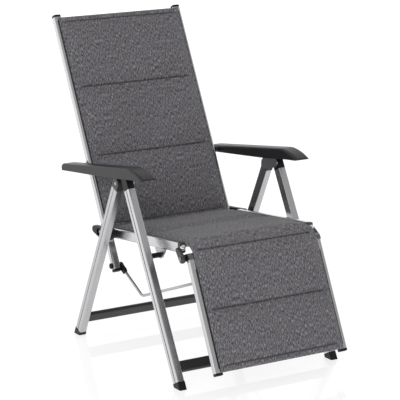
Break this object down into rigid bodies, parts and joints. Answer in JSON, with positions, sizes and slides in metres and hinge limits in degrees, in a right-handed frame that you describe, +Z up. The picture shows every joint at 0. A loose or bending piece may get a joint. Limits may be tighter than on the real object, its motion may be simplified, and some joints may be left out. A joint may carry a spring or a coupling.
{
  "type": "reclining garden armchair",
  "caption": "Folding high-back garden recliner with padded sling, armrests and a footrest that rises on push rods as the back reclines.",
  "frame": {"origin": "on the floor under the middle of the bounding box, chair upright and open", "axes": "+Z up, -Y towards the front and the footrest, +X to the sitter's left"},
  "size_m": [0.67, 1.1194, 1.1151],
  "materials": {
    "aluminium_satin": "satin anodised, fine lengthwise grain",
    "bar_dark": "satin dark grey",
    "plastic_black": "matt black moulding",
    "plastic_arm": "satin dark grey moulding",
    "plastic_grey": "satin grey moulding",
    "fabric_grey": "heathered dark grey woven sling, padded and quilted",
    "chrome_bright": "polished",
    "steel_plain": "plain"
  },
  "bodies": {
    "front_frame": {"front_leg_left": "aluminium_satin", "front_leg_right": "aluminium_satin", "front_foot_left": "plastic_black", "front_foot_right": "plastic_black", "front_head_left": "plastic_black", "front_head_right": "plastic_black", "apex_plate_left": "steel_plain", "apex_plate_right": "steel_plain", "front_crossbar": "bar_dark", "apex_pins": "steel_plain", "catch_pins": "steel_plain", "seat_pivot_spacers": "steel_plain", "seat_pivot_bolts": "chrome_bright"},
    "rear_frame": {"rear_leg_left": "aluminium_satin", "rear_leg_right": "aluminium_satin", "rear_foot_left": "plastic_black", "rear_foot_right": "plastic_black", "rear_knuckle_left": "plastic_grey", "rear_knuckle_right": "plastic_grey", "rear_crossbar": "bar_dark", "seat_rest_pins": "steel_plain"},
    "seat": {"seat_rail_left": "aluminium_satin", "seat_rail_right": "aluminium_satin", "seat_rear_bracket_left": "plastic_black", "seat_rear_bracket_right": "plastic_black", "seat_front_fitting_left": "plastic_grey", "seat_front_fitting_right": "plastic_grey", "seat_pivot_plate_left": "steel_plain", "seat_pivot_plate_right": "steel_plain", "seat_front_domes": "chrome_bright", "seat_front_tube": "steel_plain", "seat_rear_tube": "steel_plain", "back_hinge_pins": "steel_plain", "footrest_hinge_pins": "steel_plain", "seat_pad": "fabric_grey"},
    "backrest": {"back_rail_left": "aluminium_satin", "back_rail_right": "aluminium_satin", "back_top_tube": "steel_plain", "back_low_tube": "steel_plain", "back_top_caps": "plastic_black", "back_bottom_caps": "plastic_black", "arm_pivot_bolts": "steel_plain", "rod_pivot_bolts": "plastic_black", "back_pad": "fabric_grey"},
    "armrest_left_body": {"armrest_left": "plastic_arm", "armrest_rack_left": "plastic_black"},
    "armrest_right_body": {"armrest_right": "plastic_arm", "armrest_rack_right": "plastic_black"},
    "footrest": {"footrest_rail_left": "aluminium_satin", "footrest_rail_right": "aluminium_satin", "footrest_fitting_left": "plastic_grey", "footrest_fitting_right": "plastic_grey", "rod_lugs": "steel_plain", "footrest_tube": "steel_plain", "footrest_caps": "plastic_black", "footrest_pad": "fabric_grey"},
    "push_rod_left_body": {"push_rod_left": "steel_plain", "rod_clamp_left": "plastic_black"},
    "push_rod_right_body": {"push_rod_right": "steel_plain", "rod_clamp_right": "plastic_black"}
  },
  "joints": [
    {"name": "leg_fold", "type": "hinge", "parent": "front_frame", "child": "rear_frame", "pos_m": [0, 0.00076, 0.612], "axis": [-1, 0, 0], "range_deg": [0, 50]},
    {"name": "seat_pivot", "type": "hinge", "parent": "front_frame", "child": "seat", "pos_m": [0, -0.19442, 0.4], "axis": [1, 0, 0], "range_deg": [0, 12.1]},
    {"name": "back_recline", "type": "hinge", "parent": "seat", "child": "backrest", "pos_m": [0, 0.18554, 0.397], "axis": [-1, 0, 0], "range_deg": [0, 38]},
    {"name": "footrest_hinge", "type": "hinge", "parent": "seat", "child": "footrest", "pos_m": [0, -0.35746, 0.426], "axis": [-1, 0, 0], "range_deg": [0, 49.31]},
    {"name": "armrest_left_pivot", "type": "hinge", "parent": "backrest", "child": "armrest_left_body", "pos_m": [0.269, 0.29507, 0.61168], "axis": [1, 0, 0], "range_deg": [0, 25]},
    {"name": "push_rod_left_pivot", "type": "hinge", "parent": "backrest", "child": "push_rod_left_body", "pos_m": [0.2267, 0.12782, 0.28387], "axis": [1, 0, 0], "range_deg": [0, 40.18]},
    {"name": "armrest_right_pivot", "type": "hinge", "parent": "backrest", "child": "armrest_right_body", "pos_m": [-0.269, 0.29507, 0.61168], "axis": [1, 0, 0], "range_deg": [0, 25]},
    {"name": "push_rod_right_pivot", "type": "hinge", "parent": "backrest", "child": "push_rod_right_body", "pos_m": [-0.2267, 0.12782, 0.28387], "axis": [1, 0, 0], "range_deg": [0, 40.18]}
  ],
  "couplings": [
    {"joint": "seat_pivot", "follows": "leg_fold", "ratio": 0.24},
    {"joint": "footrest_hinge", "follows": "back_recline", "ratio": 1.2963},
    {"joint": "armrest_left_pivot", "follows": "back_recline", "ratio": 0.6567},
    {"joint": "armrest_right_pivot", "follows": "back_recline", "ratio": 0.6567},
    {"joint": "push_rod_left_pivot", "follows": "back_recline", "ratio": 1.056},
    {"joint": "push_rod_right_pivot", "follows": "back_recline", "ratio": 1.056}
  ]
}
